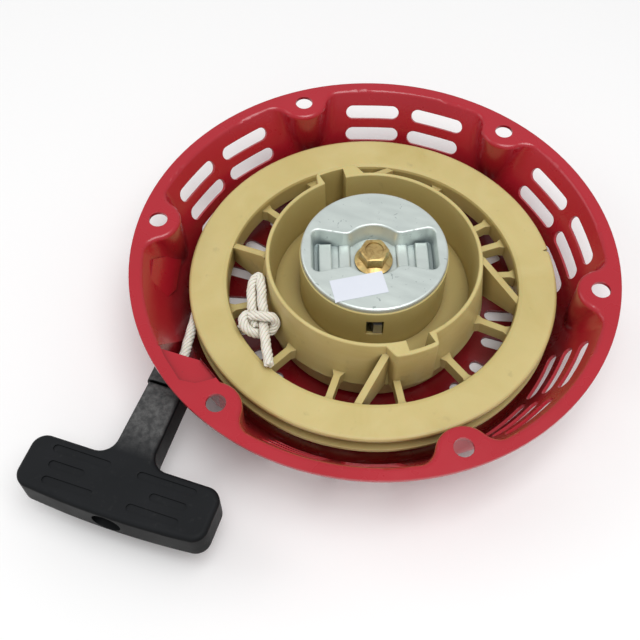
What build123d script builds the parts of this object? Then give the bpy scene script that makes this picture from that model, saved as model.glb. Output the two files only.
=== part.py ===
"""Recoil (pull-rope) starter for a large single-cylinder engine, as separate pieces.

Units are millimetres.  The origin is the centre of the mounting bolt circle, on the face of
the flange that meets the engine.  +Z points out of the open side, towards the engine, and
the rope is pulled along -Y.  Every piece is written to parts/NAME.step.
"""
from build123d import *
from math import acos, atan2, cos, degrees, hypot, radians, sin, sqrt
import os

# ---------------------------------------------------------------- mounting flange and cover
FLANGE_R = 111.0            # outer radius of the flange
FLANGE_BAND = 5.5           # from the mouth of the cover to the outside of the flange
COVER_DEPTH = 45.0          # flange face to the inside of the closed face
SHEET = 1.5                 # thickness of the pressed steel
WALL_LEAN = 0.5             # how far the wall closes in per unit of depth
CORNER_R = 7.0              # inside corner between the wall and the closed face
BEND_R = 2.2                # bend between the flange and the wall
BOLT_COUNT = 6
BOLT_PHASE = 7.5            # angle of the first mounting hole
BOLT_HOLE_R = 4.25          # clearance hole for an M8 bolt
BOLT_INSET = 9.0            # mounting holes, in from the outside of the flange
EAR_R = 12.0                # rounded ear of flange around each mounting hole
EAR_OFFSET = 1.7            # middle of an ear, out from its hole
EAR_BLEND_R = 7.0           # hollow between an ear and the wall
DISH_R = 40.0               # shallow dish in the closed face, for the rivet heads
DISH_RISE = 1.2
SLOT_LENGTH = 27.3          # cooling slots in the wall
SLOT_WIDTH = 7.0
SLOT_ROWS = 3
SLOT_TOP_Z = -10.2          # depth of the first row
SLOT_END_ROOM = 13.8        # depth of wall that the rows leave free
SLOT_COLUMN_ANGLE = 9.7     # columns each side of the middle between two ears
FACE_SLOTS = 24             # radial slots in the closed face
FACE_SLOT_IN_R = 56.5
FACE_SLOT_OUT_R = 75.5
FACE_SLOT_WIDTH = 6.0
PANEL_RISE = 1.2            # flat panel pressed into the wall beside the rope exit
PANEL_CORNERS = ((-162.0, -6.0), (-172.0, -23.0), (-159.0, -23.5), (-146.6, -8.5), (-151.0, -6.5))

# ---------------------------------------------------------------- rope and its way out
ROPE_R = 2.5
ROPE_Z = -21.8              # height of the rope groove, the rope hole and the grip
ROPE_LAYERS = 2             # layers of rope on the reel at rest
ROPE_SECTOR_ANGLE = -142.5  # middle of the sector with the rope exit
EXIT_ANGLE = -131.0         # where the rope passes through the wall
EXIT_INSET = 4.137          # in from the mouth of the cover
EXIT_LEFT = 6.5             # sides of the flat wall, from the rope
EXIT_RIGHT = 11.0
EXIT_DROP = 11.2            # its foot, below the rope
EXIT_CORNER_R = 4.0
EXIT_HOLE_GAP = 1.1         # between the rope and its hole
EXIT_SIDE_CUT = 8.0         # how far to the left the flat wall cuts the round one
EXIT_BACK_RUN = 2.0         # and to the right, before it turns back
EXIT_BACK_END = (15.5, -8.9)     # where it meets the round wall again
SHELF_DROP = 2.2            # how far the flange is let down beside the rope exit
SHELF = ((-5.5, 0.0), (13.0, 0.0), (23.0, -6.7), (16.0, -11.7), (8.9, -12.5), (-1.5, -4.1))
SHELF_GROW = ((-1, 0), (0, 0), (0, 0), (1, -1), (0, -1), (-1, -1))   # way that each corner moves
ROPE_BEND_GAP = 1.5         # bend in the rope, before the wall
ROPE_BEND_R = 12.0
RUN_CLEAR = 0.5             # between the winding and the end of the free rope

# ---------------------------------------------------------------- reel
HUB_R = 34.0                # hub inside the cup
HUB_WALL = 1.8
HUB_TOP_Z = 1.0
CUP_GAP = 13.7              # ring-shaped room for the engine's starter cup
CUP_WALL = 1.7
CUP_TOP_Z = 0.0
CUP_FLOOR_Z = -25.0
CUP_FLOOR_T = 2.6
CUP_DRAFT_IN = 1.7          # the inside closes in by this much at the floor
CUP_DRAFT_OUT = 3.2         # the outside opens out by this much at the foot
LIP_R = 0.45                # rounding of the cup's lip
REEL_ROOM = 19.6            # from the reel's rim to the cover's wall at the mouth
GROOVE_DEPTH = 15.7
GROOVE_GAP = 0.1            # between the rope and the sides of the groove, at the drum
GROOVE_FLARE = 1.1          # and how much wider each side is at the rim
DRUM_WALL = 2.2
RIM_WEB = 2.2               # thickness of a rope flange
RIM_ROUND = 1.2             # worn edge of the upper rope flange
SPRING_BOX_INSET = 1.1      # wall around the mainspring, in from the cup
SPRING_BOX_WALL = 2.4
SPRING_BOX_LIFT = 2.2       # end of that wall, above the closed face
POCKET_ANGLES = (130.0, -50.0)   # outward pockets in the cup wall
POCKET_DEPTH = 5.3
POCKET_WALL = 2.2
POCKET_HALF_ANGLE = 6.5
POCKET_LEAD_ANGLE = 18.0    # solid shoulder before each pocket
POCKET_TAIL_ANGLE = 10.5
POCKET_RAMP_ANGLES = (5.0, 3.0)   # slopes at the ends of the bulge
RIB_ANGLES = (-178, -147.8, -116.7, -89.5, -61.5, -33.7, -5.8, 22, 38, 50, 78, 106, 134, 158)
RIB_T = 3.2
RIB_TOP_Z = -21.0
FIN_ANGLES = (20.0, -65.5, -164.0, 112.0)   # where each slanted fin leaves the cup
FIN_SWEEP = 13.0
FIN_TOP_Z = -5.0
FIN_T = 3.2
FIN_FOOT = 1.2              # top of a fin at the drum, above the groove
ROOT = 0.8                  # how far ribs and fins run into the walls that they join
ROPE_EYE_ANGLE = -137.0     # hole in the drum for the rope's end
ROPE_EYE_GAP = 0.4
NOTCH_ANGLE = 28.5          # small notch in the upper rope flange
NOTCH_HALF_ANGLE = 0.9
NOTCH_DEPTH = 3.0

# ---------------------------------------------------------------- knot that holds the rope in the drum
KNOT_ROOM = 9.3             # middle of the knot, out from the cup's lip
KNOT_ANGLE = -132.2
KNOT_Z = -13.0
KNOT_SIZE = 6.0
KNOT_LOOP = ((11.2, -137.4, -12.6), (7.8, -149.5, -7.2), (4.3, -151.7, -5.6), (3.6, -147.3, -6.2),
             (6.3, -135.3, -11.4))   # from the lip, angle, height
KNOT_TAIL = (19.6, -113.7, -13.6)

# ---------------------------------------------------------------- centre post and its fasteners
RUN_GAP = 0.06              # radial clearance of a running fit
PIN_GAP = 0.05              # and of a fixed pin
POST_R = 9.4
POST_BASE_T = 2.0
SPIGOT_R = 5.9
SPIGOT_PLAY = 0.1           # the post ends this far above the guide's floor
POST_SHOULDER_DROP = 2.0    # shoulder of the post, under the guide
BEARING_WALL = 2.3
BEARING_TOP_Z = -9.4
BOLT_R = 4.0                # M8 centre bolt
BOLT_REACH = 22.0
BOLT_AF = 12.0              # across the flats
BOLT_TURN = 20.0            # one flat of the head, seen from above
BOLT_FLANGE_R = 8.75
BOLT_FLANGE_T = 1.0
BOLT_CONE_T = 1.6
BOLT_TOP_Z = 3.0
BOLT_CHAMFER = 1.0
BOLT_DIMPLE_R = 4.2
BOLT_DIMPLE_DEPTH = 0.6
RIVET_R = 2.0
RIVET_HEAD_R = 3.4
RIVET_HEAD_T = 1.0
RIVET_COUNT = 4
RIVET_BAND = 3.8            # rivets, out from the post and in from the edge of its base
SPRING_STRIP_T = 0.6        # mainspring strip
SPRING_PITCH = 0.5          # step from one half turn to the next, against the wall
SPRING_TIGHT = 15           # half turns against the wall
SPRING_LOOSE = 5            # half turns that cross to the post
SPRING_POST_GAP = 1.6
SPRING_HOOK = 0.8           # how far its inner end goes into the post
SPRING_END_GAP = 1.2
SPRING_FLOOR_GAP = 0.5
HOOK_GAP = 0.2
HOOK_DEPTH = 1.5
FRICTION_WIRE_R = 0.9
FRICTION_GAP = 0.3

# ---------------------------------------------------------------- ratchet
GUIDE_INSET = 0.6           # ratchet guide disc, in from the hub
GUIDE_TOP_Z = 3.5
GUIDE_T = 1.3
GUIDE_LIP = 1.2             # turned-down edge
GUIDE_ROUND = 0.9
GUIDE_FLOOR_Z = -5.5
GUIDE_ANGLE = 20.0          # direction of the pressed channel at rest
CHANNEL_END_GAP = 4.8       # end of the channel, in from the edge of the disc
CHANNEL_END_W = 12.2        # half widths at the ends and the waist
CHANNEL_WAIST_W = 9.2
CHANNEL_WAIST_X = 14.0
CHANNEL_EYE_R = 14.0        # round middle
CHANNEL_CORNER_R = 3.4
CHANNEL_EYE_BLEND_R = 6.0
CHANNEL_SLOPE = 9.0         # angle of its walls from upright
CHANNEL_ROLL_R = 1.0        # rolled upper edge
PADS = ((10.6, 16.0, 1.4), (19.2, 25.4, 2.6))   # raised pads: from, to, height
PAD_HALF_W = 8.6
PAD_ROUND = 1.0
PAWL_INSET = 6.0            # pawl pivots, in from the hub
PAWL_PIVOT_ANGLES = {"a": -100.2, "b": 79.8}
PAWL_OUTLINE = ((2.6, 5.0), (5.7, 24.5), (0.5, 27.5), (0.4, 34.0), (8.0, 33.8), (11.1, 21.0),
                (9.7, 3.0))   # in from the hub, angle from the pivot
PAWL_BOTTOM_Z = -14.6
PAWL_TOP_Z = -8.0
PAWL_BOSS_R = 3.9
PAWL_PIN_R = 2.2
PAWL_PIN_END = 0.3
PAWL_SHOULDER_R = 2.9
PAWL_REST_GAP = 0.1
PAWL_WIRE_R = 0.45
PAWL_WIRE_GAP = 0.05
PAWL_WIRE_DROP = 1.0
PAWL_WIRE_LEGS = ((90.0, 9.0), (-110.0, 7.0))   # direction, length
WINDOW_FROM = 21.9          # window in the hub wall, from the pawl's pivot
WINDOW_TO = 34.9
WINDOW_BOTTOM_Z = -14.9
WINDOW_TOP_Z = -5.0
FINGER_INSET = 10.9         # fingers of the guide that push the pawls out
FINGER_HALF = 1.1
FINGER_LEAD = 46.5          # angle from a pawl's pivot to its finger at rest
FINGER_REACH = 1.5          # end of a finger, above the pawl's underside
LABEL_SIZE = (24.0, 11.6)
LABEL_T = 0.2
LABEL_INSET = 11.3          # middle of the label, in from the edge of the disc
LABEL_ANGLE = -91.0
LABEL_TURN = 32.0

# ---------------------------------------------------------------- grip
GRIP_LENGTH = 84.0
GRIP_DEPTH = 24.0           # along the pull
GRIP_THICK = 17.0
GRIP_CORNER_R = 6.5
GRIP_BOW = 1.6              # bulge of the grip's far side
GRIP_EDGE_R = 2.2
STEM_HALF_W = 8.2
STEM_SPREAD = 0.8
STEM_ROOT_R = 7.5
STEM_LENGTH = 37.0
COLLAR_LENGTH = 8.4
COLLAR_HALF_W = 9.6
COLLAR_HALF_T = 9.2
COLLAR_CORNER_R = 4.5
COLLAR_EDGE_R = 0.8
COLLAR_GAP = 0.4            # between the collar and the cover at rest
SEAT_GAP = 0.02             # between pieces that lie against each other
GROOVE_ROW_PITCH = 7.0
GROOVE_W = 3.4
GRIP_GROOVE_DEPTH = 0.6
GROOVE_SPANS = ((6.0, 32.0), (14.5, 30.5), (7.5, 30.0))   # from the rope side outwards
ROPE_BORE_GAP = 0.6
GRIP_WEB = 6.0              # material between the stem side and the knot's pocket
KNOT_POCKET_R = 6.3
KNOT_R = 5.6
WASHER_T = 1.2
WASHER_GAP = 0.2

# ---------------------------------------------------------------- derived places
FACE_Z = -COVER_DEPTH
SLANT = hypot(1.0, WALL_LEAN)
MOUTH_R = FLANGE_R - FLANGE_BAND
BOLT_CIRCLE_R = FLANGE_R - BOLT_INSET
EAR_CENTRE_R = BOLT_CIRCLE_R + EAR_OFFSET
SLOT_PITCH_Z = (COVER_DEPTH - SLOT_END_ROOM) / SLOT_ROWS
REEL_RIM_R = MOUTH_R - REEL_ROOM
DRUM_R = REEL_RIM_R - GROOVE_DEPTH
DRUM_IN_R = DRUM_R - DRUM_WALL
GROOVE_HALF_IN = ROPE_R + GROOVE_GAP
GROOVE_HALF_OUT = GROOVE_HALF_IN + GROOVE_FLARE
RIM_TOP_Z = ROPE_Z + GROOVE_HALF_OUT + RIM_WEB
RIM_LOW_Z = ROPE_Z - GROOVE_HALF_OUT - RIM_WEB
WINDING_R = DRUM_R + (ROPE_LAYERS - 0.5) * 2 * ROPE_R
WINDING_OUT_R = DRUM_R + ROPE_LAYERS * 2 * ROPE_R
CUP_IN_R = HUB_R + CUP_GAP
CUP_LIP_R = CUP_IN_R + CUP_WALL
CUP_UNDER_Z = CUP_FLOOR_Z - CUP_FLOOR_T
POCKET_OUT_R = CUP_IN_R + POCKET_DEPTH
SPRING_BOX_IN_R = CUP_IN_R - SPRING_BOX_INSET
SPRING_BOX_END_Z = FACE_Z + SPRING_BOX_LIFT
PULL_X = (MOUTH_R - EXIT_INSET) * cos(radians(EXIT_ANGLE))
EXIT_Y = (MOUTH_R - EXIT_INSET) * sin(radians(EXIT_ANGLE))
EXIT_OUT_Y = EXIT_Y - SHEET
EXIT_LEFT_X = PULL_X - EXIT_LEFT
EXIT_RIGHT_X = PULL_X + EXIT_RIGHT
EXIT_FLOOR_Z = ROPE_Z - EXIT_DROP
POST_SEAT_Z = FACE_Z + DISH_RISE
POST_TOP_Z = GUIDE_FLOOR_Z + SPIGOT_PLAY
POST_SHOULDER_Z = GUIDE_FLOOR_Z - GUIDE_T - POST_SHOULDER_DROP
RIVET_CIRCLE_R = POST_R + RIVET_BAND
POST_BASE_R = RIVET_CIRCLE_R + RIVET_BAND
SPRING_TOP_Z = CUP_UNDER_Z - SPRING_FLOOR_GAP
SPRING_LOW_Z = POST_SEAT_Z + POST_BASE_T + RIVET_HEAD_T + SPRING_END_GAP
SPRING_WIDTH = SPRING_TOP_Z - SPRING_LOW_Z
SPRING_IN_R = POST_R + SPRING_POST_GAP
GUIDE_R = HUB_R - GUIDE_INSET
CHANNEL_HALF = GUIDE_R - CHANNEL_END_GAP
PAWL_PIVOT_R = HUB_R - PAWL_INSET
FINGER_R = HUB_R - FINGER_INSET
COLLAR_Y = EXIT_OUT_Y - COLLAR_GAP
STEM_END_Y = COLLAR_Y - COLLAR_LENGTH
GRIP_NEAR_Y = STEM_END_Y - STEM_LENGTH
GRIP_FAR_Y = GRIP_NEAR_Y - GRIP_DEPTH
GRIP_MID_Y = GRIP_NEAR_Y - GRIP_DEPTH / 2
KNOT_SEAT_Y = GRIP_NEAR_Y - GRIP_WEB
GRIP_KNOT_Y = KNOT_SEAT_Y - WASHER_T - KNOT_R
ROPE_BORE_R = ROPE_R + ROPE_BORE_GAP
ALL_THE_WAY = 200.0         # reaches past everything, for cuts
BITE = 0.5                  # how far joined shapes run into each other


def polar(radius, angle, z=0.0):
    """Point at a radius and an angle in degrees."""
    return (radius * cos(radians(angle)), radius * sin(radians(angle)), z)


def ring(inner, outer, low, high):
    """Flat-ended tube about the axis."""
    body = Pos(0, 0, low) * extrude(Circle(outer), high - low)
    if inner > 0:
        body -= Pos(0, 0, low) * extrude(Circle(inner), high - low)
    return body


def disc(x, y, radius, low, high):
    """Upright cylinder."""
    return Pos(x, y, low) * extrude(Circle(radius), high - low)


def prism(points, low, high):
    """Upright prism on a polygon."""
    face = make_face(Polyline(*[(p[0], p[1]) for p in points], close=True).edges())
    return Pos(0, 0, low) * extrude(face, high - low)


def spin_profile(points):
    """Solid of revolution from (radius, z) corners."""
    face = make_face(Polyline(*[(r, 0, z) for r, z in points], close=True).edges())
    return revolve(face, Axis.Z)


def along_y(x, z, radius, y_from, y_to):
    """Cylinder along -Y."""
    return Pos(x, y_from, z) * Rot(90, 0, 0) * extrude(Circle(radius), y_from - y_to)


def tube(path, radius):
    """Round bar along a path."""
    section = Plane(origin=path @ 0, z_dir=path % 0) * Circle(radius)
    return sweep(section, path=path)


def sector(radius, start, stop, low, high, steps=6):
    """Pie slice, for cutting by angle."""
    arc = [polar(radius, start + (stop - start) * i / steps) for i in range(steps + 1)]
    return prism([(0, 0)] + arc, low, high)


def hole_angles():
    return [BOLT_PHASE + 360.0 / BOLT_COUNT * i for i in range(BOLT_COUNT)]


# ---------------------------------------------------------------- cover
def bowl(grow):
    """Space inside the cover's wall, or, with grow, the outside of the wall."""
    mouth = MOUTH_R + grow * SLANT
    depth = COVER_DEPTH + grow
    foot = mouth - WALL_LEAN * depth
    body = spin_profile([(0, 0), (mouth, 0), (foot, -depth), (0, -depth)])
    body = Rot(0, 0, BOLT_PHASE + 180.0 / BOLT_COUNT) * body
    body = fillet(body.edges().group_by(Axis.Z)[0], CORNER_R + grow)
    for angle in hole_angles():
        x, y, _ = polar(EAR_CENTRE_R, angle)
        body -= disc(x, y, EAR_R - grow, -COVER_DEPTH, BITE)
    return fillet([e for e in body.edges() if is_ear_seam(e)], EAR_BLEND_R + grow)


def is_ear_seam(edge):
    """Edge where an ear's column meets the leaning wall."""
    box = edge.bounding_box()
    middle = edge @ 0.5
    near = [hypot(middle.X - x, middle.Y - y) for x, y, _ in map(ear_centre, hole_angles())]
    return box.size.Z > 1.0 and min(near) < EAR_R + 1.0


def is_mouth(edge):
    """Edge of the opening in the flange."""
    middle = edge @ 0.5
    return hypot(middle.X, middle.Y) < FLANGE_R - 1.0


def ear_centre(angle):
    return polar(EAR_CENTRE_R, angle)


def shelf_outline(grow=0.0):
    """Part of the flange that is let down beside the rope exit."""
    return [(PULL_X + x + grow * way_x, EXIT_Y + y + grow * way_y)
            for (x, y), (way_x, way_y) in zip(SHELF, SHELF_GROW)]


def exit_box(grow):
    """Square-fronted pocket in the wall, for the rope to leave through."""
    body = Pos(EXIT_LEFT_X - grow, EXIT_Y - grow, EXIT_FLOOR_Z - grow) * Box(
        EXIT_RIGHT_X - EXIT_LEFT_X + 2 * grow, 3 * EAR_R, -EXIT_FLOOR_Z + grow - SHELF_DROP,
        align=(Align.MIN, Align.MIN, Align.MIN))
    front = body.edges().filter_by(Axis.X).group_by(Axis.Y)[0].group_by(Axis.Z)[0]
    return fillet(front, EXIT_CORNER_R + grow)


def wall_slots():
    """Cooling slots, in every sector but the one that the rope leaves by."""
    lean = degrees(atan2(WALL_LEAN, 1.0))
    slots = []
    for hole in hole_angles():
        middle = hole + 180.0 / BOLT_COUNT
        if cos(radians(middle - ROPE_SECTOR_ANGLE)) > 0.9:
            continue
        for side in (-1, 1):
            for row in range(SLOT_ROWS):
                z = SLOT_TOP_Z - row * SLOT_PITCH_Z
                angle = middle + side * SLOT_COLUMN_ANGLE
                x, y, _ = polar(MOUTH_R + WALL_LEAN * z, angle)
                face = SlotOverall(SLOT_LENGTH, SLOT_WIDTH)
                blade = extrude(face, SLOT_WIDTH, both=True)
                slots.append(Pos(x, y, z) * Rot(0, 0, angle + 90) * Rot(90 + lean, 0, 0) * blade)
    return slots


def face_slots():
    """Radial slots in the closed face."""
    length = FACE_SLOT_OUT_R - FACE_SLOT_IN_R
    blade = extrude(SlotOverall(length, FACE_SLOT_WIDTH), 3 * SHEET, both=True)
    middle = FACE_SLOT_IN_R + length / 2
    return [Rot(0, 0, 360.0 / FACE_SLOTS * i) * Pos(middle, 0, FACE_Z) * blade
            for i in range(FACE_SLOTS)]


def beyond_exit(grow=0.0):
    """Space outside the flat wall; grow moves its face outwards."""
    front = EXIT_Y - grow
    left = EXIT_LEFT_X - EXIT_SIDE_CUT
    right = EXIT_RIGHT_X + EXIT_BACK_RUN
    end_x, end_y, _ = Vector(EXIT_RIGHT_X, EXIT_Y) + Vector(*EXIT_BACK_END)
    return prism([(left, front), (right - 0.3 * grow, front),
                  (end_x - 0.55 * grow, end_y - 0.83 * grow), (end_x, -ALL_THE_WAY),
                  (left, -ALL_THE_WAY)], -ALL_THE_WAY, ALL_THE_WAY)


def wall_panel(inset):
    """Block behind the flat panel's face; with inset, the hollow behind the panel's sheet."""
    corners = [Vector(*polar(MOUTH_R + WALL_LEAN * z - PANEL_RISE, angle, z))
               for angle, z in PANEL_CORNERS]
    along = corners[1] - corners[0]
    outward = along.cross(corners[2] - corners[0]).normalized()
    if outward.dot(corners[0]) < 0:
        outward = -outward
    plane = Plane(origin=corners[0] + outward * inset, x_dir=along, z_dir=outward)
    flat = [plane.to_local_coords(corner) for corner in corners]
    face = make_face(Polyline(*[(p.X, p.Y) for p in flat], close=True).edges())
    if inset:
        face = offset(face, -inset)
    return plane * extrude(face, EAR_R, dir=(0, 0, 1))


def make_cover():
    shell = bowl(SHEET) + ring(0, FLANGE_R, -SHEET, 0) - bowl(0)
    mouth = [e for e in shell.edges() if abs(e.center().Z) < 0.01 and is_mouth(e)]
    shell = fillet(mouth, BEND_R)
    inside = bowl(0) - beyond_exit()
    inside += exit_box(0)
    inside += Pos(EXIT_LEFT_X, EXIT_Y, -SHELF_DROP - BITE) * Box(
        EXIT_RIGHT_X - EXIT_LEFT_X, EAR_R, SHELF_DROP + BITE, align=(Align.MIN, Align.MIN, Align.MIN))
    inside -= spin_profile([(0, FACE_Z), (DISH_R + DISH_RISE, FACE_Z),
                            (DISH_R, FACE_Z + DISH_RISE), (0, FACE_Z + DISH_RISE)])
    outside = shell + bowl(0) - beyond_exit(SHEET) + exit_box(SHEET)
    low = FACE_Z - SHEET
    outside -= spin_profile([(0, low), (DISH_R - SHEET + DISH_RISE, low),
                             (DISH_R - SHEET, low + DISH_RISE), (0, low + DISH_RISE)])
    cover = outside + (ring(0, FLANGE_R, -SHEET, 0) & beyond_exit(0))
    cover += prism(shelf_outline(SHEET), -SHELF_DROP - SHEET, 0)
    cover -= inside
    cover -= prism(shelf_outline(), -SHELF_DROP, SHEET)
    cover += wall_panel(0) & bowl(SHEET)
    cover -= wall_panel(SHEET)
    for angle in hole_angles():
        x, y, _ = polar(BOLT_CIRCLE_R, angle)
        cover -= disc(x, y, BOLT_HOLE_R, -2 * SHEET, SHEET)
    for i in range(RIVET_COUNT):
        x, y, _ = polar(RIVET_CIRCLE_R, rivet_angle(i))
        cover -= disc(x, y, RIVET_R + PIN_GAP, FACE_Z - 2 * SHEET, FACE_Z + 2 * SHEET)
    cover -= along_y(PULL_X, ROPE_Z, ROPE_R + EXIT_HOLE_GAP, EXIT_Y + 2 * SHEET, EXIT_Y - 2 * SHEET)
    cover -= wall_slots()
    cover -= face_slots()
    return cover


def rivet_angle(i):
    return 45.0 + 360.0 / RIVET_COUNT * i


# ---------------------------------------------------------------- reel
def cup_out_r(z):
    """Outside of the cup wall at a height."""
    return CUP_IN_R + CUP_WALL + CUP_DRAFT_OUT * z / CUP_FLOOR_Z


def cup_in_r(z):
    return CUP_IN_R - CUP_DRAFT_IN * z / CUP_FLOOR_Z


def make_rim():
    """Drum with its two rope flanges."""
    groove_out_top = ROPE_Z + GROOVE_HALF_OUT
    groove_out_low = ROPE_Z - GROOVE_HALF_OUT
    groove_in_top = ROPE_Z + GROOVE_HALF_IN
    inner_top = groove_in_top + RIM_WEB
    return spin_profile([
        (DRUM_IN_R, RIM_LOW_Z), (REEL_RIM_R - RIM_ROUND / 2, RIM_LOW_Z),
        (REEL_RIM_R, RIM_LOW_Z + RIM_ROUND / 2), (REEL_RIM_R, groove_out_low),
        (DRUM_R, ROPE_Z - GROOVE_HALF_IN), (DRUM_R, groove_in_top), (REEL_RIM_R, groove_out_top),
        (REEL_RIM_R, RIM_TOP_Z - RIM_ROUND), (REEL_RIM_R - RIM_ROUND / 3, RIM_TOP_Z - RIM_ROUND / 3),
        (REEL_RIM_R - RIM_ROUND, RIM_TOP_Z), (DRUM_IN_R + DRUM_WALL, inner_top + BITE),
        (DRUM_IN_R + BITE, inner_top), (DRUM_IN_R, inner_top - RIM_ROUND)])


def make_cup():
    """Cup, its floor and the hub inside it, with rounded lips."""
    lip = CUP_TOP_Z - LIP_R
    cup = spin_profile([
        (HUB_R - HUB_WALL, CUP_UNDER_Z), (cup_out_r(CUP_UNDER_Z), CUP_UNDER_Z),
        (cup_out_r(lip), lip), (CUP_LIP_R - LIP_R, CUP_TOP_Z), (CUP_IN_R + LIP_R, CUP_TOP_Z),
        (cup_in_r(lip), lip), (cup_in_r(CUP_FLOOR_Z), CUP_FLOOR_Z), (HUB_R, CUP_FLOOR_Z),
        (HUB_R, HUB_TOP_Z - LIP_R), (HUB_R - LIP_R, HUB_TOP_Z), (HUB_R - HUB_WALL, HUB_TOP_Z)])
    bore = POST_R + RUN_GAP
    cup += ring(bore, HUB_R - BITE, CUP_UNDER_Z, CUP_FLOOR_Z)
    cup += ring(bore, POST_R + BEARING_WALL, CUP_UNDER_Z - SPRING_FLOOR_GAP / 2, BEARING_TOP_Z)
    spring_box_out = SPRING_BOX_IN_R + SPRING_BOX_WALL
    return cup + ring(SPRING_BOX_IN_R, spring_box_out, SPRING_BOX_END_Z, CUP_UNDER_Z + BITE)


def make_reel():
    reel = make_cup()
    for angle in POCKET_ANGLES:
        reel += pocket_wall(angle, CUP_UNDER_Z)
    for angle in RIB_ANGLES:
        reel += rib(angle, RIM_LOW_Z)
    for angle in FIN_ANGLES:
        reel += fin(angle, RIM_LOW_Z)
    reel += make_rim()
    for angle in POCKET_ANGLES:
        reel -= pocket_space(angle)
    for angle in PAWL_PIVOT_ANGLES.values():
        reel += pawl_post(angle)
        reel -= pawl_window(angle)
    eye = Rot(0, 0, ROPE_EYE_ANGLE) * Pos(DRUM_IN_R - DRUM_WALL, 0, ROPE_Z) * Rot(0, 90, 0)
    reel -= eye * extrude(Circle(ROPE_R + ROPE_EYE_GAP), 3 * DRUM_WALL)
    notch = [polar(REEL_RIM_R - NOTCH_DEPTH, NOTCH_ANGLE),
             polar(REEL_RIM_R + BITE, NOTCH_ANGLE - NOTCH_HALF_ANGLE),
             polar(REEL_RIM_R + BITE, NOTCH_ANGLE + NOTCH_HALF_ANGLE)]
    return reel - prism(notch, ROPE_Z, CUP_TOP_Z)


def pocket_wall(angle, low):
    """Outward bulge of the cup wall, with a solid shoulder before its pocket."""
    start = angle - POCKET_LEAD_ANGLE
    stop = angle + POCKET_TAIL_ANGLE
    ramp_in, ramp_out = POCKET_RAMP_ANGLES
    outer = arc_points(POCKET_OUT_R + POCKET_WALL, start + ramp_in, stop - ramp_out)
    bulge = prism(outer + arc_points(CUP_IN_R + ROOT, stop, start), low, CUP_TOP_Z)
    upright = [e for e in bulge.edges().filter_by(Axis.Z) if hypot(e.center().X, e.center().Y) > CUP_LIP_R]
    corners = sorted(upright, key=lambda e: atan_of(e.center()) - angle)
    bulge = fillet([corners[0], corners[-1]], POCKET_WALL)
    return chamfer(bulge.edges().group_by(Axis.Z)[-1], LIP_R)


def atan_of(point):
    return degrees(atan2(point.Y, point.X))


def arc_points(radius, start, stop, steps=6):
    return [polar(radius, start + (stop - start) * i / steps) for i in range(steps + 1)]


def pocket_space(angle):
    """Square pocket in the bulge, open to the inside of the cup."""
    reach = POCKET_OUT_R / cos(radians(POCKET_HALF_ANGLE)) - PIN_GAP
    space = sector(reach, angle - POCKET_HALF_ANGLE, angle + POCKET_HALF_ANGLE,
                   CUP_FLOOR_Z, CUP_TOP_Z + BITE)
    return space - ring(0, cup_in_r(CUP_FLOOR_Z) - BITE, -ALL_THE_WAY, ALL_THE_WAY)


def rib(angle, low):
    """Flat spoke from the cup to the drum, wider where it joins them."""
    start = cup_out_r(RIB_TOP_Z) - ROOT
    stop = DRUM_IN_R + ROOT
    half = RIB_T / 2
    bar = prism([(start, -2 * half), (start + 2 * half, -half), (stop - 2 * half, -half),
                 (stop, -2 * half), (stop, 2 * half), (stop - 2 * half, half),
                 (start + 2 * half, half), (start, 2 * half)], low, RIB_TOP_Z)
    return Rot(0, 0, angle) * bar


def fin(angle, low):
    """Slanted gusset that runs down from the cup wall to the rim."""
    a = Vector(*polar(cup_out_r(FIN_TOP_Z) - ROOT, angle))
    b = Vector(*polar(DRUM_IN_R + ROOT, angle - FIN_SWEEP))
    span = (b - a).length
    shape = make_face(Polyline((0, low), (span, low), (span, ROPE_Z + GROOVE_HALF_IN + FIN_FOOT),
                               (2 * ROOT, FIN_TOP_Z), (0, FIN_TOP_Z), close=True).edges())
    blade = Rot(90, 0, 0) * extrude(shape, FIN_T / 2, both=True)
    return Pos(a.X, a.Y, 0) * Rot(0, 0, degrees(atan2(b.Y - a.Y, b.X - a.X))) * blade


def pawl_post(angle):
    """Pin that a pawl turns on, with a shoulder to rest on."""
    x, y, _ = polar(PAWL_PIVOT_R, angle)
    root = CUP_FLOOR_Z - BITE
    shoulder = disc(x, y, PAWL_SHOULDER_R, root, PAWL_BOTTOM_Z - PAWL_REST_GAP)
    return shoulder + disc(x, y, PAWL_PIN_R, root, PAWL_TOP_Z + PAWL_PIN_END)


def pawl_window(angle):
    ring_cut = ring(HUB_R - 2 * HUB_WALL, HUB_R + BITE, WINDOW_BOTTOM_Z, WINDOW_TOP_Z)
    return ring_cut & sector(HUB_R + CUP_GAP / 2, angle + WINDOW_FROM, angle + WINDOW_TO,
                             CUP_FLOOR_Z, GUIDE_TOP_Z)


def make_winding():
    """Rope wound on the reel, as one closed shape."""
    low = ROPE_Z - ROPE_R + GROOVE_GAP
    high = ROPE_Z + ROPE_R - GROOVE_GAP
    inner = DRUM_R + PIN_GAP
    round_in = WINDING_OUT_R - ROPE_R / 2
    return spin_profile([
        (inner, low + GROOVE_GAP), (round_in, low), (WINDING_OUT_R, low + ROPE_R / 2),
        (WINDING_OUT_R, high - ROPE_R / 2), (round_in, high), (inner, high - GROOVE_GAP)])


def knot_point(room, angle, z):
    """Place beside the cup: distance out from its lip, angle and height."""
    return Vector(*polar(CUP_LIP_R + room, angle, z))


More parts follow.
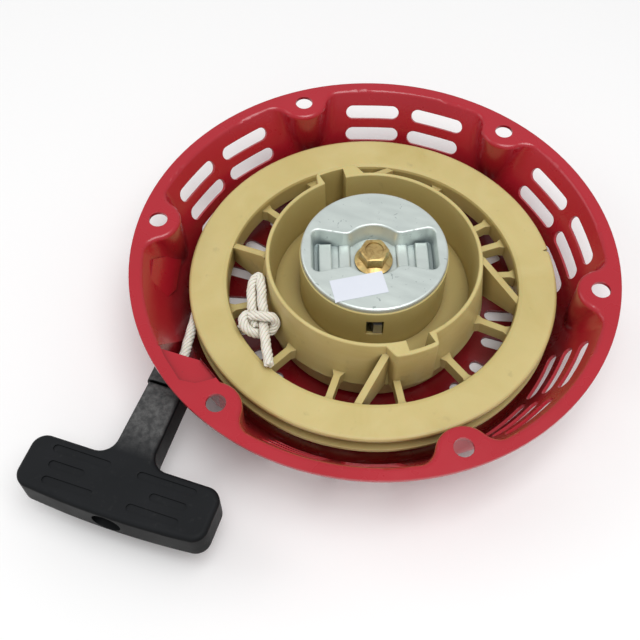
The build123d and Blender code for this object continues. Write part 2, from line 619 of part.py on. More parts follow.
def make_reel_knot():
    """Slip knot that holds the rope in the drum, with its loop and its end."""
    middle = knot_point(KNOT_ROOM, KNOT_ANGLE, KNOT_Z)
    eye_in = Vector(*polar(DRUM_R - PIN_GAP, ROPE_EYE_ANGLE, ROPE_Z))
    eye_out = Vector(*polar(DRUM_IN_R - ROPE_R, ROPE_EYE_ANGLE, ROPE_Z))
    inward = (eye_out - eye_in).normalized()
    turn = Spline(eye_out, middle, tangents=(inward, (0, 0, 1)))
    lead = Wire([Line(eye_in, eye_out), turn])
    knot = Pos(*middle) * Sphere(KNOT_SIZE)
    knot += tube(Line(middle, knot_point(*KNOT_TAIL)), ROPE_R)
    corners = [knot_point(*p) for p in KNOT_LOOP]
    for near, far in zip(corners, corners[1:]):
        knot += tube(Line(near, far), ROPE_R)
    for corner in corners:
        knot += Pos(*corner) * Sphere(ROPE_R)
    return knot + tube(lead, ROPE_R)


def make_pawl(angle):
    """Ratchet pawl at rest: a boss on its pin and an arm with a square nose."""
    x, y, _ = polar(PAWL_PIVOT_R, angle)
    arm = [polar(HUB_R - inset, angle + turn) for inset, turn in PAWL_OUTLINE]
    pawl = prism(arm, PAWL_BOTTOM_Z, PAWL_TOP_Z)
    pawl += disc(x, y, PAWL_BOSS_R, PAWL_BOTTOM_Z, PAWL_TOP_Z)
    return pawl - disc(x, y, PAWL_PIN_R + RUN_GAP, PAWL_BOTTOM_Z - BITE, PAWL_TOP_Z + BITE)


def make_pawl_spring(angle):
    """Fine wire spring around a pawl's shoulder, with one leg against the hub."""
    coil_z = PAWL_BOTTOM_Z - PAWL_WIRE_DROP
    radius = PAWL_SHOULDER_R + PAWL_WIRE_R + PAWL_WIRE_GAP
    coil = Pos(0, 0, coil_z) * Torus(radius, PAWL_WIRE_R)
    coil += Pos(0, 0, coil_z - 2 * PAWL_WIRE_R + PAWL_WIRE_GAP) * Torus(radius, PAWL_WIRE_R)
    for turn, length in PAWL_WIRE_LEGS:
        start = Vector(*polar(radius, turn + 90, coil_z))
        coil += tube(Line(start, start + Vector(*polar(length, turn, 0))), PAWL_WIRE_R)
    x, y, _ = polar(PAWL_PIVOT_R, angle)
    return Pos(x, y, 0) * Rot(0, 0, angle) * coil


# ---------------------------------------------------------------- ratchet guide
def channel_outline(grow):
    """Bow-tie channel: a round eye, a waist each side and wider ends, all with soft corners."""
    x_end = CHANNEL_HALF + grow
    end_w = CHANNEL_END_W + grow
    waist_w = CHANNEL_WAIST_W + grow
    points = [(CHANNEL_WAIST_X, -waist_w), (x_end, -end_w), (x_end, end_w), (CHANNEL_WAIST_X, waist_w),
              (-CHANNEL_WAIST_X, waist_w), (-x_end, end_w), (-x_end, -end_w), (-CHANNEL_WAIST_X, -waist_w)]
    bow = make_face(Polyline(*points, close=True).edges())
    face = bow + Circle(CHANNEL_EYE_R + grow)
    ends = [v for v in face.vertices() if abs(v.X) > x_end - BITE]
    face = fillet(ends, CHANNEL_CORNER_R + grow)
    eye = [v for v in face.vertices() if abs(v.X) < CHANNEL_WAIST_X - BITE]
    return fillet(eye, CHANNEL_EYE_BLEND_R)


def pressed_channel(grow, floor, top):
    """Channel with walls that lean out towards its top."""
    height = top - floor
    lean = height * sin(radians(CHANNEL_SLOPE))
    return Pos(0, 0, floor) * extrude(channel_outline(grow - lean), height, taper=-CHANNEL_SLOPE)


def make_guide():
    top = GUIDE_TOP_Z
    under = top - GUIDE_T
    plate = spin_profile([
        (0, under), (GUIDE_R - GUIDE_T, under), (GUIDE_R - GUIDE_T, under - GUIDE_LIP),
        (GUIDE_R, under - GUIDE_LIP), (GUIDE_R, top - GUIDE_ROUND),
        (GUIDE_R - GUIDE_ROUND / 3, top - GUIDE_ROUND / 3), (GUIDE_R - GUIDE_ROUND, top), (0, top)])
    tray = pressed_channel(GUIDE_T, GUIDE_FLOOR_Z - GUIDE_T, top - BITE)
    guide = plate + tray - pressed_channel(0, GUIDE_FLOOR_Z, top)
    edge = [e for e in guide.edges() if abs(e.center().Z - top) < PIN_GAP and not is_disc_edge(e)]
    guide = fillet(edge, CHANNEL_ROLL_R)
    for side in (-1, 1):
        for start, stop, height in PADS:
            guide += Pos(side * (start + stop) / 2, 0, GUIDE_FLOOR_Z) * pad(stop - start, height)
    guide -= ring(0, SPIGOT_R + RUN_GAP, GUIDE_FLOOR_Z - 2 * GUIDE_T, GUIDE_FLOOR_Z + 2 * GUIDE_T)
    guide = Rot(0, 0, GUIDE_ANGLE) * guide
    for angle in PAWL_PIVOT_ANGLES.values():
        x, y, _ = polar(FINGER_R, angle + FINGER_LEAD)
        guide += disc(x, y, FINGER_HALF, PAWL_BOTTOM_Z + FINGER_REACH, under + BITE)
    return guide


def is_disc_edge(edge):
    """Edge of the disc rather than of the channel."""
    middle = edge @ 0.5
    return hypot(middle.X, middle.Y) > GUIDE_R - 2 * GUIDE_ROUND


def pad(length, height):
    """Raised pad across the channel, with a rounded top."""
    bar = Box(length, 2 * PAD_HALF_W, height + GUIDE_T / 2, align=(Align.CENTER, Align.CENTER, Align.MIN))
    bar = fillet(bar.edges().group_by(Axis.Z)[-1], PAD_ROUND)
    return Pos(0, 0, -GUIDE_T / 2) * bar


def make_label():
    """Paper label on the disc, with one corner past its edge."""
    paper = Pos(0, 0, GUIDE_TOP_Z) * extrude(Rectangle(*LABEL_SIZE), LABEL_T)
    x, y, _ = polar(GUIDE_R - LABEL_INSET, LABEL_ANGLE)
    return Pos(x, y, 0) * Rot(0, 0, LABEL_TURN) * paper


# ---------------------------------------------------------------- post and fasteners
def make_post():
    seat = POST_SEAT_Z
    post = ring(0, POST_BASE_R, seat, seat + POST_BASE_T)
    post += ring(0, POST_R, seat, POST_SHOULDER_Z)
    post += ring(0, SPIGOT_R, POST_SHOULDER_Z - BITE, POST_TOP_Z)
    post -= ring(0, BOLT_R + PIN_GAP, POST_TOP_Z - BOLT_REACH - BITE, POST_TOP_Z + BITE)
    post -= Pos(HOOK_DEPTH - POST_R, 0, SPRING_LOW_Z - HOOK_GAP) * Box(
        2 * HOOK_DEPTH, SPRING_STRIP_T + 2 * HOOK_GAP, SPRING_WIDTH + 2 * HOOK_GAP,
        align=(Align.MAX, Align.CENTER, Align.MIN))
    for i in range(RIVET_COUNT):
        x, y, _ = polar(RIVET_CIRCLE_R, rivet_angle(i))
        post -= disc(x, y, RIVET_R + PIN_GAP, seat - BITE, seat + POST_BASE_T + BITE)
    return post


def make_rivets():
    """Rivets through the base of the post and the closed face."""
    low = POST_SEAT_Z - SHEET
    high = POST_SEAT_Z + POST_BASE_T
    crown = RIVET_HEAD_R - RIVET_HEAD_T
    rivets = []
    for i in range(RIVET_COUNT):
        x, y, _ = polar(RIVET_CIRCLE_R, rivet_angle(i))
        profile = [(0, low - RIVET_HEAD_T), (crown, low - RIVET_HEAD_T), (RIVET_HEAD_R, low),
                   (RIVET_R, low), (RIVET_R, high), (RIVET_HEAD_R, high),
                   (crown, high + RIVET_HEAD_T), (0, high + RIVET_HEAD_T)]
        rivets.append(Pos(x, y, 0) * spin_profile(profile))
    return Compound(children=rivets)


def make_bolt():
    """Flanged hexagon bolt that holds the guide on the post."""
    seat = POST_TOP_Z
    flange_top = seat + BOLT_FLANGE_T
    cone_top = flange_top + BOLT_CONE_T
    bolt = ring(0, BOLT_R, seat - BOLT_REACH, flange_top)
    bolt += spin_profile([
        (0, seat), (BOLT_FLANGE_R - BOLT_FLANGE_T / 2, seat), (BOLT_FLANGE_R, seat + BOLT_FLANGE_T / 2),
        (BOLT_FLANGE_R, flange_top), (BOLT_AF / 2, cone_top), (0, cone_top)])
    hexagon = RegularPolygon(BOLT_AF / 2, 6, major_radius=False, rotation=BOLT_TURN)
    head = Pos(0, 0, flange_top) * extrude(hexagon, BOLT_TOP_Z - flange_top)
    bolt += head & spin_profile([
        (0, seat), (BOLT_AF, seat), (BOLT_AF, BOLT_TOP_Z - 3 * BOLT_CHAMFER),
        (BOLT_AF / 2, BOLT_TOP_Z - BOLT_CHAMFER / 3), (BOLT_AF / 2 - BOLT_CHAMFER / 2, BOLT_TOP_Z),
        (0, BOLT_TOP_Z)])
    return bolt - ring(0, BOLT_DIMPLE_R, BOLT_TOP_Z - BOLT_DIMPLE_DEPTH, BOLT_TOP_Z + BITE)


def make_friction_spring():
    """Wire ring that drags on the underside of the guide."""
    z = POST_SHOULDER_Z + FRICTION_WIRE_R + SEAT_GAP
    return Pos(0, 0, z) * Torus(SPIGOT_R + FRICTION_GAP + FRICTION_WIRE_R, FRICTION_WIRE_R)


def make_mainspring():
    """Flat spiral spring, nearly all of it lying against the wall around it."""
    radii = [SPRING_BOX_IN_R - SPRING_PITCH * (i + 1) for i in range(SPRING_TIGHT)]
    step = (radii[-1] - SPRING_IN_R) / SPRING_LOOSE
    radii += [radii[-1] - step * (i + 1) for i in range(SPRING_LOOSE)]
    strip = None
    for i in range(len(radii) - 1):
        side = 1 if i % 2 == 0 else -1
        outer = half_turn(radii[i], radii[i + 1], side, 0)
        inner = half_turn(radii[i], radii[i + 1], side, SPRING_STRIP_T)
        ends = [Line(outer @ 0, inner @ 0), Line(outer @ 1, inner @ 1)]
        band = make_face([outer, inner] + ends)
        strip = band if strip is None else strip + band
    tab = Pos(-SPRING_IN_R, 0) * Rectangle(
        SPRING_POST_GAP + SPRING_HOOK, SPRING_STRIP_T, align=(Align.MIN, Align.CENTER))
    return Pos(0, 0, SPRING_LOW_Z) * extrude(strip + tab, SPRING_WIDTH)


def half_turn(start, stop, side, inset):
    """Half a turn of the spiral, from one side of the axis to the other."""
    a = side * (start - inset)
    b = -side * (stop - inset)
    reach = (start + stop) / 2 - inset
    return ThreePointArc((a, 0), ((a + b) / 2, side * reach), (b, 0))


# ---------------------------------------------------------------- rope run and grip
def make_rope_run():
    """Taut rope from beside the winding, through the wall."""
    bend = Vector(PULL_X, EXIT_Y + ROPE_BEND_GAP, ROPE_Z)
    away = hypot(bend.X, bend.Y)
    angle = atan_of(bend) - degrees(acos(WINDING_R / away))
    tangent = Vector(*polar(WINDING_R, angle, ROPE_Z))
    along = (bend - tangent).normalized()
    clear = sqrt((WINDING_OUT_R + RUN_CLEAR) ** 2 - (WINDING_R - ROPE_R) ** 2) + RUN_CLEAR
    end = Vector(PULL_X, EXIT_OUT_Y - COLLAR_GAP / 4, ROPE_Z)
    return tube(FilletPolyline(tangent + along * clear, bend, end, radius=ROPE_BEND_R), ROPE_R)


def grip_outline():
    """T-shaped outline seen from above."""
    near = GRIP_NEAR_Y
    far = GRIP_FAR_Y
    corner = GRIP_CORNER_R
    left = PULL_X - GRIP_LENGTH / 2
    right = PULL_X + GRIP_LENGTH / 2
    bar = make_face([
        Line((left + corner, near), (right - corner, near)),
        RadiusArc((right - corner, near), (right, near - corner), corner),
        Line((right, near - corner), (right, far + corner)),
        RadiusArc((right, far + corner), (right - corner, far), corner),
        ThreePointArc((right - corner, far), (PULL_X, far - GRIP_BOW), (left + corner, far)),
        RadiusArc((left + corner, far), (left, far + corner), corner),
        Line((left, far + corner), (left, near - corner)),
        RadiusArc((left, near - corner), (left + corner, near), corner)])
    wide = STEM_HALF_W + STEM_SPREAD
    stem = make_face(Polyline(
        (PULL_X - wide, near - BITE), (PULL_X - STEM_HALF_W, STEM_END_Y),
        (PULL_X + STEM_HALF_W, STEM_END_Y), (PULL_X + wide, near - BITE), close=True).edges())
    whole = bar + stem
    roots = [v for v in whole.vertices()
             if abs(v.Y - near) < BITE and abs(v.X - PULL_X) < 2 * STEM_HALF_W]
    return fillet(roots, STEM_ROOT_R)


def make_grip():
    top = ROPE_Z + GRIP_THICK / 2
    low = ROPE_Z - GRIP_THICK / 2
    solid = Pos(0, 0, low) * extrude(grip_outline(), GRIP_THICK)
    edges = solid.edges().group_by(Axis.Z)
    solid = fillet(edges[-1] + edges[0], GRIP_EDGE_R)
    for row, (near_x, far_x) in enumerate(GROOVE_SPANS):
        y = GRIP_MID_Y + (1 - row) * GROOVE_ROW_PITCH
        slot = SlotOverall(far_x - near_x, GROOVE_W)
        for side in (-1, 1):
            x = PULL_X + side * (near_x + far_x) / 2
            for z in (top, low):
                solid -= Pos(x, y, z) * extrude(slot, GRIP_GROOVE_DEPTH, both=True)
    solid -= along_y(PULL_X, ROPE_Z, ROPE_BORE_R, STEM_END_Y + BITE, KNOT_SEAT_Y - BITE)
    return solid - along_y(PULL_X, ROPE_Z, KNOT_POCKET_R, KNOT_SEAT_Y, GRIP_FAR_Y - GRIP_DEPTH)


def make_collar():
    """Flared end piece of the grip, which meets the cover at rest."""
    section = RectangleRounded(2 * COLLAR_HALF_W, 2 * COLLAR_HALF_T, COLLAR_CORNER_R)
    body = Pos(PULL_X, COLLAR_Y, ROPE_Z) * Rot(90, 0, 0) * extrude(section, COLLAR_LENGTH - SEAT_GAP)
    ends = body.edges().group_by(Axis.Y)
    body = fillet(ends[-1] + ends[0], COLLAR_EDGE_R)
    return body - along_y(PULL_X, ROPE_Z, ROPE_BORE_R, COLLAR_Y + BITE, STEM_END_Y - BITE)


def make_grip_rope():
    return along_y(PULL_X, ROPE_Z, ROPE_R, COLLAR_Y - PIN_GAP, GRIP_KNOT_Y + ROPE_R)


def make_grip_knot():
    return Pos(PULL_X, GRIP_KNOT_Y, ROPE_Z) * Sphere(KNOT_R) - along_y(
        PULL_X, ROPE_Z, ROPE_R, COLLAR_Y, GRIP_KNOT_Y + ROPE_R)


def make_grip_washer():
    low = KNOT_SEAT_Y - WASHER_T
    washer = along_y(PULL_X, ROPE_Z, KNOT_POCKET_R - WASHER_GAP, KNOT_SEAT_Y, low)
    return washer - along_y(PULL_X, ROPE_Z, ROPE_BORE_R, KNOT_SEAT_Y + BITE, low - BITE)


def main():
    nodes = {
        "cover": make_cover(),
        "center_post": make_post(),
        "post_rivets": make_rivets(),
        "center_bolt": make_bolt(),
        "friction_spring": make_friction_spring(),
        "mainspring": make_mainspring(),
        "rope_run": make_rope_run(),
        "reel": make_reel(),
        "rope_winding": make_winding(),
        "reel_knot": make_reel_knot(),
        "ratchet_guide": make_guide(),
        "paper_label": make_label(),
        "grip": make_grip(),
        "grip_collar": make_collar(),
        "grip_rope": make_grip_rope(),
        "grip_knot": make_grip_knot(),
        "grip_washer": make_grip_washer(),
    }
    for side, angle in PAWL_PIVOT_ANGLES.items():
        nodes["pawl_" + side] = make_pawl(angle)
        nodes["pawl_spring_" + side] = make_pawl_spring(angle)
    os.makedirs("parts", exist_ok=True)
    for name, shape in nodes.items():
        export_step(shape, f"parts/{name}.step")


main()
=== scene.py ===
import math

import bpy
from mathutils import Matrix, Vector
from mathutils.geometry import interpolate_bezier


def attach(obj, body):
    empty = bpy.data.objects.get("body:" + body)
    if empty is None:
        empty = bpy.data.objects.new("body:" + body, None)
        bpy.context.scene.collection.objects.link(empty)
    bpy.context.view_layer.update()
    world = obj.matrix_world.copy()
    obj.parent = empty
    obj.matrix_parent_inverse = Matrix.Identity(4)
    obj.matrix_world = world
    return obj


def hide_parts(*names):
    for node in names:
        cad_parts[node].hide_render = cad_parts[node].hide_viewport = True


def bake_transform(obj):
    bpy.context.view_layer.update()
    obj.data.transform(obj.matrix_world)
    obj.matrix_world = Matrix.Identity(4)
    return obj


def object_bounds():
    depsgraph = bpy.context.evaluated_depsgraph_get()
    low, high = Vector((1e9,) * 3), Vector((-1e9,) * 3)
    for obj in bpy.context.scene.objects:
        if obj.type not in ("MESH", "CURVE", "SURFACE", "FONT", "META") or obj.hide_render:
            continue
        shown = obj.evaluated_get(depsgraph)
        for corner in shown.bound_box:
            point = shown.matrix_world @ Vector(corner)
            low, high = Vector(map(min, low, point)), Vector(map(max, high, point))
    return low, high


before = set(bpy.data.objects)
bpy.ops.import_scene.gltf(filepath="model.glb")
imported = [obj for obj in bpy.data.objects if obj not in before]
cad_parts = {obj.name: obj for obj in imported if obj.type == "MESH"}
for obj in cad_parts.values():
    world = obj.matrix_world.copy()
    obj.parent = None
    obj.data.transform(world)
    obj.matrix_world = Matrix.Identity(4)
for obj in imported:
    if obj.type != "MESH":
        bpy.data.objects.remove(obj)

cad_box = [list(c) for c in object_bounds()]

# ------------------------------------------------------------------ sizes, in metres
MM = 0.001
FLOOR_SIZE = 6.0
FLOOR_GAP = 0.2 * MM                # the floor lies this far under the cover

CAMERA_PLACE = Vector((0.05913, -0.25119, 0.33800))
CAMERA_AIM = Vector((-0.17537, 0.51799, -0.83722))
CAMERA_UP = Vector((-0.27032, 0.79238, 0.54687))
CAMERA_LENS = 52.39
CAMERA_SENSOR = 36.0
CAMERA_NEAR = 0.01

AIR_STRENGTH = 0.5                  # even light from all around
LIGHT_AIM = Vector((0.0, -0.03, -0.02))
KEY_PLACE = (0.25, -0.25, 1.15)
KEY_SIZE = 0.8
KEY_POWER = 8.8
SIDE_PLACE = (-0.9, -0.1, 0.7)
SIDE_SIZE = 0.7
SIDE_POWER = 1.6

ROPE_Z = -21.8 * MM                 # height of the rope, its hole and the grip
ROPE_X = -66.498 * MM               # line that the rope is pulled along
WALL_Y = -76.5 * MM                 # inside of the wall that the rope passes through
REEL_LAYERS = (72.75 * MM, 77.65 * MM)   # radii of the layers of rope on the reel
PULL = 900 * MM                     # how far the grip is pulled
DRAWN_FROM = 0.4 * MM               # at rest, ends of the rope that is drawn out, past the wall
DRAWN_TO = 43.5 * MM
HALVINGS = 40                       # steps that find where a point of that rope lies at rest
GRIP_STEM_Y = -116 * MM             # where the grip's stem meets its bar
# the top of the stem between these gets dust and a painted sheen
STEM_DUST_AND_SHEEN_FROM = GRIP_STEM_Y - 6 * MM
STEM_DUST_AND_SHEEN_TO = GRIP_STEM_Y + 8 * MM

STRANDS = 6                         # strands laid side by side around the rope
STRAND_R = 0.92 * MM
LAY_R = 1.41 * MM                   # where their middles run, from the middle of the rope
WEAVE = 0.13 * MM                   # how far they rise and dip
DIPS = 5                            # times a strand dips in one turn
CORE_R = 1.3 * MM
LAY_LENGTH = 15.0 * MM              # length of one turn of a strand
LAY_STEPS = 26                      # points along it
SHORT_STEP = LAY_LENGTH / LAY_STEPS
LONG_STEP = 0.85 * MM               # between points on the long runs of rope
CURVE_STEPS = 40                    # straight bits between two corners of a route
STRAND_SIDES = 1                    # bevel resolution of a strand, and of one on a long run
LONG_STRAND_SIDES = 0

LABEL_SIZE = (24.0 * MM, 11.6 * MM)
LABEL_CELLS = (36, 18)
LABEL_PLACE = (-0.386 * MM, -22.097 * MM)
LABEL_TURN = math.radians(32.0)
LABEL_Z = 3.51 * MM                 # on the disc
LABEL_T = 0.18 * MM
LABEL_CREASE = math.radians(40.0)   # edges sharper than this stay sharp
DISC_EDGE = 32.4 * MM               # the label bends down past this radius
LABEL_CURL = 220.0                  # how sharply, per metre

# Routes of the rope, as corners in millimetres
LINE_X = ROPE_X / MM
LINE_Z = ROPE_Z / MM
WALL = WALL_Y / MM
REEL_TO_WALL = ((-76.85, -11.6, LINE_Z), (-74.1, -28.5, LINE_Z), (-71.0, -48.0, LINE_Z),
                (-68.2, -65.0, LINE_Z), (LINE_X - 0.25, WALL + 2.5, LINE_Z), (LINE_X, WALL - 1.9, LINE_Z))
GRIP_INSIDE = [(LINE_X, WALL - past, LINE_Z) for past in (2.2, 20.0, 40.0, 58.0)]
KNOT_WRAP = ((-50.8, -47.4, LINE_Z), (-48.4, -46.2, -19.5), (-46.4, -45.0, -15.5), (-44.8, -43.4, -11.3),
             (-41.5, -43.2, -9.5), (-37.0, -42.5, -9.0), (-34.0, -41.5, -10.5), (-33.0, -41.7, -14.0),
             (-34.3, -43.8, -17.2), (-37.6, -45.0, -18.4))
KNOT_LOBE = ((-44.5, -41.5, -15.0), (-46.2, -43.4, -11.4), (-46.5, -46.4, -10.9), (-44.6, -48.8, -12.6),
             (-41.4, -48.9, -14.8), (-37.9, -47.3, -16.9))
KNOT_LOOP = ((-41.5, -46.0, -15.0), (-44.2, -41.0, -12.6), (-46.6, -35.5, -9.8), (-48.4, -29.0, -7.0),
             (-46.7, -25.6, -5.4), (-44.5, -28.4, -6.0), (-42.2, -34.0, -8.4), (-39.6, -39.2, -11.4),
             (-37.5, -43.0, -15.0))
KNOT_TAIL = ((-39.6, -40.5, -15.2), (-37.2, -45.4, -13.6), (-34.6, -50.6, -12.6), (-31.3, -57.0, -12.9),
             (-27.9, -63.2, -13.6))

# ------------------------------------------------------------------ colours
RED = (0.46, 0.010, 0.024)
RED_DULL = (0.41, 0.007, 0.018)
RED_SHADOW = (0.15, 0.003, 0.005)
RED_SPECK = (0.10, 0.02, 0.02)
RED_SCUFF = (0.55, 0.10, 0.12)

NYLON = (0.64, 0.53, 0.225)
NYLON_DULL = (0.55, 0.445, 0.165)
NYLON_FLOW = (0.72, 0.62, 0.31)
NYLON_SHADOW = (0.46, 0.36, 0.13)
# painted shade in the nylon's tight corners
NYLON_CORNER_SHADE = (0.20, 0.13, 0.035)
NYLON_GRIME = (0.16, 0.12, 0.06)

ZINC = (0.66, 0.73, 0.70)
ZINC_BRIGHT = (0.78, 0.85, 0.81)
ZINC_CLOUD = (0.56, 0.63, 0.61)
ZINC_PIT = (0.22, 0.27, 0.27)
# painted shade in the zinc's tight corners
ZINC_CORNER_SHADE = (0.16, 0.21, 0.22)
# Smudges of layout ink on the disc: place in mm, full and faded radii in mm, colour
INK = (((-4.5, 10.5, 0.0), 2.0, 7.5, (0.006, 0.035, 0.060)),
       ((9.0, -2.6, -5.0), 1.5, 5.0, (0.0, 0.085, 0.125)),
       ((-13.2, -3.5, -4.0), 0.8, 3.6, (0.01, 0.16, 0.26)),
       ((-9.5, -9.5, -4.0), 0.3, 3.2, (0.01, 0.10, 0.17)))

CHROMATE_BROWN = (0.30, 0.19, 0.07)
CHROMATE_GOLD = (0.62, 0.43, 0.17)
CHROMATE_PALE = (0.70, 0.52, 0.22)
CHROMATE_GREEN = (0.42, 0.40, 0.16)
# painted shade in the chromate's tight corners
CHROMATE_CORNER_SHADE = (0.10, 0.06, 0.02)

STEEL = (0.50, 0.51, 0.53)
STEEL_DULL = (0.35, 0.357, 0.371)

BLACK = (0.012, 0.013, 0.014)
BLACK_WORN = (0.019, 0.020, 0.022)
# painted shade on the grip's side faces
BLACK_SIDE_SHADE = (0.002, 0.0022, 0.0025)
# dust and a painted sheen on the top of the grip's stem
STEM_DUST_AND_SHEEN = (0.15, 0.15, 0.148)
GREY_DUST = (0.07, 0.07, 0.068)

YARN = (0.76, 0.72, 0.61)
YARN_PALE = (0.90, 0.88, 0.80)
# painted shade between the rope's strands
YARN_CREVICE_SHADE = (0.36, 0.29, 0.17)
PAPER = (0.70, 0.73, 0.81)
PAPER_PALE = (0.76, 0.79, 0.86)
CARD = (0.97, 0.97, 0.97)
CARD_PALE = (0.99, 0.99, 0.99)


# ------------------------------------------------------------------ node helpers
class Paint:
    """A material under construction: adds shader nodes and joins them."""

    def __init__(self, name):
        self.material = bpy.data.materials.new(name)
        self.material.use_nodes = True
        self.tree = self.material.node_tree
        self.shader = self.tree.nodes["Principled BSDF"]
        self.coordinates = self.add("ShaderNodeTexCoord")
        self.place = self.coordinates.outputs["Object"]

    def add(self, kind, inputs=None, **settings):
        """A new node. Inputs are numbers and colours, or another node's output to join."""
        made = self.tree.nodes.new(kind)
        for key, value in settings.items():
            setattr(made, key, value)
        for key, value in (inputs or {}).items():
            self.put(made.inputs[key], value)
        return made

    def put(self, socket, value):
        """Sets an input to a value, or joins another node's output to it."""
        if isinstance(value, bpy.types.NodeSocket):
            self.tree.links.new(value, socket)
        else:
            socket.default_value = value

    def set(self, **values):
        """Shader sockets by name, with underscores for spaces."""
        for key, value in values.items():
            self.put(self.shader.inputs[key.replace("_", " ")], value)

    def noise(self, scale, detail=3.0, roughness=0.5, stretch=None, distortion=0.0):
        """Noise from 0 to 1, with its features about 1/scale metres wide."""
        vector = self.place
        if stretch:
            vector = self.add("ShaderNodeMapping", {"Vector": self.place, "Scale": stretch}).outputs[0]
        node = self.add("ShaderNodeTexNoise", {
            "Vector": vector, "Scale": scale, "Detail": detail,
            "Roughness": roughness, "Distortion": distortion})
        return node.outputs["Fac"]

    def ramp(self, value, *stops):
        """Colour ramp with (position, colour) stops. A number as the colour gives a grey."""
        node = self.add("ShaderNodeValToRGB", {"Fac": value})
        band = node.color_ramp
        while len(band.elements) < len(stops):
            band.elements.new(0.5)
        for element, (position, colour) in zip(band.elements, stops):
            element.position = position
            element.color = grey(colour) if isinstance(colour, (int, float)) else (*colour, 1.0)
        return node.outputs["Color"]

    def axis(self, vector, name):
        """One part, X, Y or Z, of a vector."""
        return self.add("ShaderNodeSeparateXYZ", {"Vector": vector}).outputs[name]

    def mix(self, amount, a, b):
        """Colour a where the amount is 0, and colour b where it is 1."""
        node = self.add("ShaderNodeMix", data_type="RGBA")
        self.put(node.inputs[0], amount)
        self.put(node.inputs[6], solid(a))
        self.put(node.inputs[7], solid(b))
        return node.outputs[2]

    def math(self, operation, a, b):
        """Sum or product of two numbers."""
        node = self.add("ShaderNodeMath", operation=operation)
        self.put(node.inputs[0], a)
        self.put(node.inputs[1], b)
        return node.outputs[0]

    def shade(self, distance):
        """How open a spot is, from 0 in a deep corner to 1 in the open."""
        node = self.add("ShaderNodeAmbientOcclusion", {"Distance": distance}, samples=8)
        return node.outputs["AO"]

    def bump(self, *layers, edge=0.0):
        """Bumps from (height, strength, depth in metres) layers, one on the other, and worn edges."""
        normal = None
        if edge:
            normal = self.add("ShaderNodeBevel", {"Radius": edge}, samples=6).outputs[0]
        for height, strength, depth in layers:
            node = self.add("ShaderNodeBump", {
                "Height": height, "Strength": strength, "Distance": depth})
            if normal:
                self.put(node.inputs["Normal"], normal)
            normal = node.outputs["Normal"]
        self.put(self.shader.inputs["Normal"], normal)

    def spot(self, place, full, none):
        """1 within a distance of a place given in millimetres, fading to 0 further out."""
        away = self.add("ShaderNodeVectorMath", {0: self.place, 1: tuple(c * MM for c in place)},
                        operation="DISTANCE").outputs["Value"]
        return self.add("ShaderNodeMapRange", {
            "Value": away, "From Min": full * MM, "From Max": none * MM,
            "To Min": 1.0, "To Max": 0.0}).outputs[0]


def grey(value):
    """A number as an opaque grey."""
    return (value, value, value, 1.0)


def solid(value):
    """A colour with its opacity added, or another node's output as it is."""
    return value if isinstance(value, bpy.types.NodeSocket) else (*value, 1.0)


# ------------------------------------------------------------------ materials
def red_gloss_paint():
    """Sprayed enamel on pressed steel: specks of dust, fine scuffs and an orange-peel skin."""
    paint = Paint("red_gloss_paint")
    tone = paint.mix(paint.ramp(paint.noise(18.0), (0.3, 0.0), (0.7, 1.0)), RED, RED_DULL)
    tone = paint.mix(paint.ramp(paint.shade(0.045), (0.1, 1.0), (0.8, 0.0)), tone, RED_SHADOW)
    specks = paint.ramp(paint.noise(420.0, 2.0), (0.73, 0.0), (0.78, 1.0))
    tone = paint.mix(paint.math("MULTIPLY", specks, 0.35), tone, RED_SPECK)
    scuffs = paint.ramp(paint.noise(95.0, 6.0, 0.7, stretch=(1.0, 4.0, 1.0), distortion=2.0),
                        (0.70, 0.0), (0.74, 1.0))
    tone = paint.mix(paint.math("MULTIPLY", scuffs, 0.30), tone, RED_SCUFF)
    paint.set(Base_Color=tone, Roughness=paint.ramp(paint.noise(60.0), (0.3, 0.24), (0.7, 0.34)),
              Coat_Weight=0.35, Coat_Roughness=0.14, IOR=1.5)
    grain = paint.noise(650.0, 2.0)
    peel = paint.noise(90.0, 2.0)
    paint.bump((grain, 0.25, 0.05 * MM), (peel, 0.2, 0.3 * MM), edge=0.5 * MM)
    return paint.material


def moulded_nylon():
    """Cream nylon with flow marks, painted brown and olive shade in its recesses and corners, grimy in
    places.
    """
    paint = Paint("moulded_nylon")
    tone = paint.mix(paint.ramp(paint.noise(22.0, 4.0), (0.3, 0.0), (0.7, 1.0)), NYLON, NYLON_DULL)
    flow = paint.ramp(paint.noise(35.0, 5.0, stretch=(1.0, 1.0, 5.0), distortion=1.5),
                      (0.35, 0.0), (0.75, 1.0))
    tone = paint.mix(paint.math("MULTIPLY", flow, 0.35), tone, NYLON_FLOW)
    tone = paint.mix(paint.ramp(paint.shade(0.035), (0.15, 1.0), (0.8, 0.0)), tone, NYLON_SHADOW)
    # painted shade: brown and olive darkening in tight corners
    tone = paint.mix(paint.ramp(paint.shade(0.006), (0.2, 1.0), (0.8, 0.0)), tone, NYLON_CORNER_SHADE)
    grime = paint.ramp(paint.noise(140.0, 4.0), (0.66, 0.0), (0.78, 1.0))
    tone = paint.mix(paint.math("MULTIPLY", grime, 0.22), tone, NYLON_GRIME)
    paint.set(Base_Color=tone, Roughness=paint.ramp(paint.noise(70.0), (0.3, 0.36), (0.7, 0.50)),
              Subsurface_Weight=0.12, Subsurface_Scale=2 * MM, IOR=1.5)
    grain = paint.noise(900.0, 3.0)
    sink = paint.noise(60.0, 3.0)
    paint.bump((grain, 0.15, 0.06 * MM), (sink, 0.15, 0.4 * MM), edge=0.7 * MM)
    return paint.material


